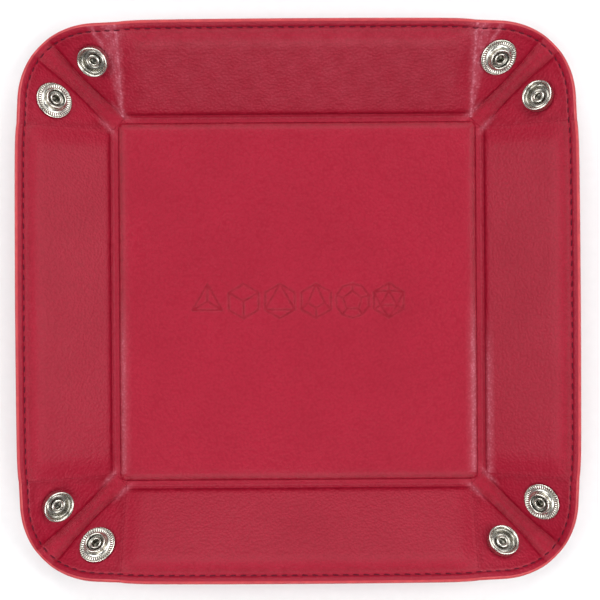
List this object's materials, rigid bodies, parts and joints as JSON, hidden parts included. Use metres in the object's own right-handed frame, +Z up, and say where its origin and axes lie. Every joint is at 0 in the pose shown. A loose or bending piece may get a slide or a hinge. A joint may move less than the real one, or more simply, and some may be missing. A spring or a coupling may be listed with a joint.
{
  "type": "folding dice tray",
  "caption": "Square leather tray for rolling dice, with board-stiffened sloping walls and soft corners that pinch together with press fasteners or open out nearly flat.",
  "frame": {"origin": "under the middle of the floor, on the surface that the tray rests on", "axes": "+Z up out of the tray; +X and +Y square to the east and north walls"},
  "size_m": [0.2134, 0.2134, 0.0243],
  "materials": {
    "liner": "fine-grained synthetic leather, satin",
    "cover": "fine-grained synthetic leather, satin",
    "board": "grey paperboard, matt",
    "thread": "dark red polyester sewing thread",
    "nickel": "polished nickel plate"
  },
  "bodies": {
    "floor": {"floor_board": "board", "floor_liner": "liner", "floor_cover": "cover"},
    "north_wall": {"north_wall_board": "board", "north_wall_liner": "liner", "north_wall_cover": "cover", "north_wall_thread": "thread"},
    "north_socket_flap": {"north_socket_flap": "liner", "north_socket_flap_thread": "thread", "north_socket_cap": "nickel", "north_socket": "nickel", "north_socket_spring": "nickel"},
    "north_stud_flap": {"north_stud_flap": "liner", "north_stud_flap_thread": "thread", "north_stud_post": "nickel", "north_stud": "nickel"},
    "north_pleat": {"north_pleat": "liner"},
    "east_wall": {"east_wall_board": "board", "east_wall_liner": "liner", "east_wall_cover": "cover", "east_wall_thread": "thread"},
    "east_socket_flap": {"east_socket_flap": "liner", "east_socket_flap_thread": "thread", "east_socket_cap": "nickel", "east_socket": "nickel", "east_socket_spring": "nickel"},
    "east_stud_flap": {"east_stud_flap": "liner", "east_stud_flap_thread": "thread", "east_stud_post": "nickel", "east_stud": "nickel"},
    "east_pleat": {"east_pleat": "liner"},
    "south_wall": {"south_wall_board": "board", "south_wall_liner": "liner", "south_wall_cover": "cover", "south_wall_thread": "thread"},
    "south_socket_flap": {"south_socket_flap": "liner", "south_socket_flap_thread": "thread", "south_socket_cap": "nickel", "south_socket": "nickel", "south_socket_spring": "nickel"},
    "south_stud_flap": {"south_stud_flap": "liner", "south_stud_flap_thread": "thread", "south_stud_post": "nickel", "south_stud": "nickel"},
    "south_pleat": {"south_pleat": "liner"},
    "west_wall": {"west_wall_board": "board", "west_wall_liner": "liner", "west_wall_cover": "cover", "west_wall_thread": "thread"},
    "west_socket_flap": {"west_socket_flap": "liner", "west_socket_flap_thread": "thread", "west_socket_cap": "nickel", "west_socket": "nickel", "west_socket_spring": "nickel"},
    "west_stud_flap": {"west_stud_flap": "liner", "west_stud_flap_thread": "thread", "west_stud_post": "nickel", "west_stud": "nickel"},
    "west_pleat": {"west_pleat": "liner"}
  },
  "joints": [
    {"name": "north_wall_hinge", "type": "hinge", "parent": "floor", "child": "north_wall", "pos_m": [0, 0.072, 0.00085], "axis": [1, 0, 0], "range_deg": [-29, 56]},
    {"name": "north_socket_flap_hinge", "type": "hinge", "parent": "north_wall", "child": "north_socket_flap", "pos_m": [-0.06762, 0.072, 0.00085], "axis": [0, -0.829, -0.5592], "range_deg": [-16.03, 30.77]},
    {"name": "north_stud_flap_hinge", "type": "hinge", "parent": "north_wall", "child": "north_stud_flap", "pos_m": [0.06762, 0.072, 0.00085], "axis": [0, 0.829, 0.5592], "range_deg": [-16.03, 30.77]},
    {"name": "north_pleat_hinge", "type": "hinge", "parent": "north_stud_flap", "child": "north_pleat", "pos_m": [0.06762, 0.072, 0.00085], "axis": [-0.6848, -0.6848, -0.2493], "range_deg": [-29, 56]},
    {"name": "east_wall_hinge", "type": "hinge", "parent": "floor", "child": "east_wall", "pos_m": [0.072, 0, 0.00085], "axis": [0, -1, 0], "range_deg": [-29, 56]},
    {"name": "east_socket_flap_hinge", "type": "hinge", "parent": "east_wall", "child": "east_socket_flap", "pos_m": [0.072, 0.06762, 0.00085], "axis": [-0.829, 0, -0.5592], "range_deg": [-16.03, 30.77]},
    {"name": "east_stud_flap_hinge", "type": "hinge", "parent": "east_wall", "child": "east_stud_flap", "pos_m": [0.072, -0.06762, 0.00085], "axis": [0.829, 0, 0.5592], "range_deg": [-16.03, 30.77]},
    {"name": "east_pleat_hinge", "type": "hinge", "parent": "east_stud_flap", "child": "east_pleat", "pos_m": [0.072, -0.06762, 0.00085], "axis": [-0.6848, 0.6848, -0.2493], "range_deg": [-29, 56]},
    {"name": "south_wall_hinge", "type": "hinge", "parent": "floor", "child": "south_wall", "pos_m": [0, -0.072, 0.00085], "axis": [-1, 0, 0], "range_deg": [-29, 56]},
    {"name": "south_socket_flap_hinge", "type": "hinge", "parent": "south_wall", "child": "south_socket_flap", "pos_m": [0.06762, -0.072, 0.00085], "axis": [0, 0.829, -0.5592], "range_deg": [-16.03, 30.77]},
    {"name": "south_stud_flap_hinge", "type": "hinge", "parent": "south_wall", "child": "south_stud_flap", "pos_m": [-0.06762, -0.072, 0.00085], "axis": [0, -0.829, 0.5592], "range_deg": [-16.03, 30.77]},
    {"name": "south_pleat_hinge", "type": "hinge", "parent": "south_stud_flap", "child": "south_pleat", "pos_m": [-0.06762, -0.072, 0.00085], "axis": [0.6848, 0.6848, -0.2493], "range_deg": [-29, 56]},
    {"name": "west_wall_hinge", "type": "hinge", "parent": "floor", "child": "west_wall", "pos_m": [-0.072, 0, 0.00085], "axis": [0, 1, 0], "range_deg": [-29, 56]},
    {"name": "west_socket_flap_hinge", "type": "hinge", "parent": "west_wall", "child": "west_socket_flap", "pos_m": [-0.072, -0.06762, 0.00085], "axis": [0.829, 0, -0.5592], "range_deg": [-16.03, 30.77]},
    {"name": "west_stud_flap_hinge", "type": "hinge", "parent": "west_wall", "child": "west_stud_flap", "pos_m": [-0.072, 0.06762, 0.00085], "axis": [-0.829, 0, 0.5592], "range_deg": [-16.03, 30.77]},
    {"name": "west_pleat_hinge", "type": "hinge", "parent": "west_stud_flap", "child": "west_pleat", "pos_m": [-0.072, 0.06762, 0.00085], "axis": [0.6848, -0.6848, -0.2493], "range_deg": [-29, 56]}
  ],
  "couplings": [
    {"joint": "north_socket_flap_hinge", "follows": "north_wall_hinge", "ratio": 0.54581},
    {"joint": "north_stud_flap_hinge", "follows": "north_wall_hinge", "ratio": 0.54581},
    {"joint": "north_pleat_hinge", "follows": "north_wall_hinge", "ratio": 1},
    {"joint": "east_wall_hinge", "follows": "north_wall_hinge", "ratio": 1},
    {"joint": "east_socket_flap_hinge", "follows": "north_wall_hinge", "ratio": 0.54581},
    {"joint": "east_stud_flap_hinge", "follows": "north_wall_hinge", "ratio": 0.54581},
    {"joint": "east_pleat_hinge", "follows": "north_wall_hinge", "ratio": 1},
    {"joint": "south_wall_hinge", "follows": "north_wall_hinge", "ratio": 1},
    {"joint": "south_socket_flap_hinge", "follows": "north_wall_hinge", "ratio": 0.54581},
    {"joint": "south_stud_flap_hinge", "follows": "north_wall_hinge", "ratio": 0.54581},
    {"joint": "south_pleat_hinge", "follows": "north_wall_hinge", "ratio": 1},
    {"joint": "west_wall_hinge", "follows": "north_wall_hinge", "ratio": 1},
    {"joint": "west_socket_flap_hinge", "follows": "north_wall_hinge", "ratio": 0.54581},
    {"joint": "west_stud_flap_hinge", "follows": "north_wall_hinge", "ratio": 0.54581},
    {"joint": "west_pleat_hinge", "follows": "north_wall_hinge", "ratio": 1}
  ]
}
